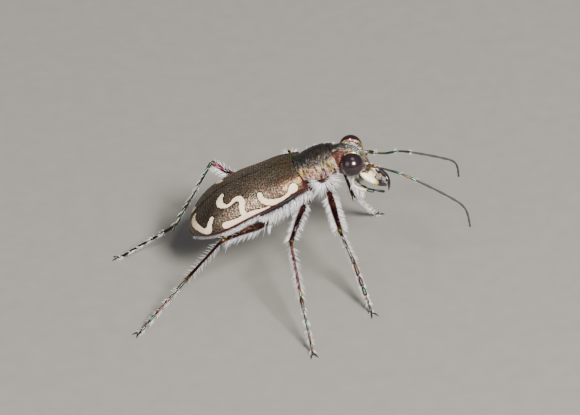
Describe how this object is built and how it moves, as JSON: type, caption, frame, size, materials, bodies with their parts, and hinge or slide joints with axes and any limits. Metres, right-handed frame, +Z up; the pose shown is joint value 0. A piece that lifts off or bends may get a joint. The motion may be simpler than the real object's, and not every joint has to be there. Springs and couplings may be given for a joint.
{
  "type": "tiger beetle",
  "caption": "Life-size tiger beetle, standing high on long legs with its head raised, long feelers held forward.",
  "frame": {"origin": "on the floor, under the middle of the whole insect's box", "axes": "+Z up, +X towards the head, +Y towards the insect's left side"},
  "size_m": [0.0228, 0.0174, 0.0093],
  "materials": {
    "wing_case": "bronze-brown shell, finely pitted, with ivory markings",
    "fore_shell": "bronze to coppery shell with green and pink reflections, finely wrinkled",
    "eye": "very dark brown, smooth and glossy",
    "ivory": "smooth ivory shell, black at the tips of the jaws",
    "mouth_feeler": "pale and green-black jointed feelers with white bristles",
    "metallic_feeler": "glossy green to copper",
    "dull_feeler": "dull grey down",
    "underside": "dark blue-green metallic shell with white hair",
    "leg": "coppery metallic shell with white bristles",
    "foot": "green to copper metallic joints with white bristles"
  },
  "bodies": {
    "root": {"elytron_l": "wing_case", "elytron_r": "wing_case", "pronotum": "fore_shell", "head": "fore_shell", "eye_l": "eye", "eye_r": "eye", "labrum": "ivory", "mandible_l": "ivory", "palps_l": "mouth_feeler", "antenna_l_base": "metallic_feeler", "antenna_l_tip": "dull_feeler", "mandible_r": "ivory", "palps_r": "mouth_feeler", "antenna_r_base": "metallic_feeler", "antenna_r_tip": "dull_feeler", "thorax": "underside", "abdomen": "underside", "coxa_front_l": "leg", "femur_front_l": "leg", "tibia_front_l": "leg", "tarsus_front_l": "foot", "coxa_front_r": "leg", "femur_front_r": "leg", "tibia_front_r": "leg", "tarsus_front_r": "foot", "coxa_middle_l": "leg", "femur_middle_l": "leg", "tibia_middle_l": "leg", "tarsus_middle_l": "foot", "coxa_middle_r": "leg", "femur_middle_r": "leg", "tibia_middle_r": "leg", "tarsus_middle_r": "foot", "coxa_hind_l": "leg", "femur_hind_l": "leg", "tibia_hind_l": "leg", "tarsus_hind_l": "foot", "coxa_hind_r": "leg", "femur_hind_r": "leg", "tibia_hind_r": "leg", "tarsus_hind_r": "foot"}
  },
  "joints": []
}
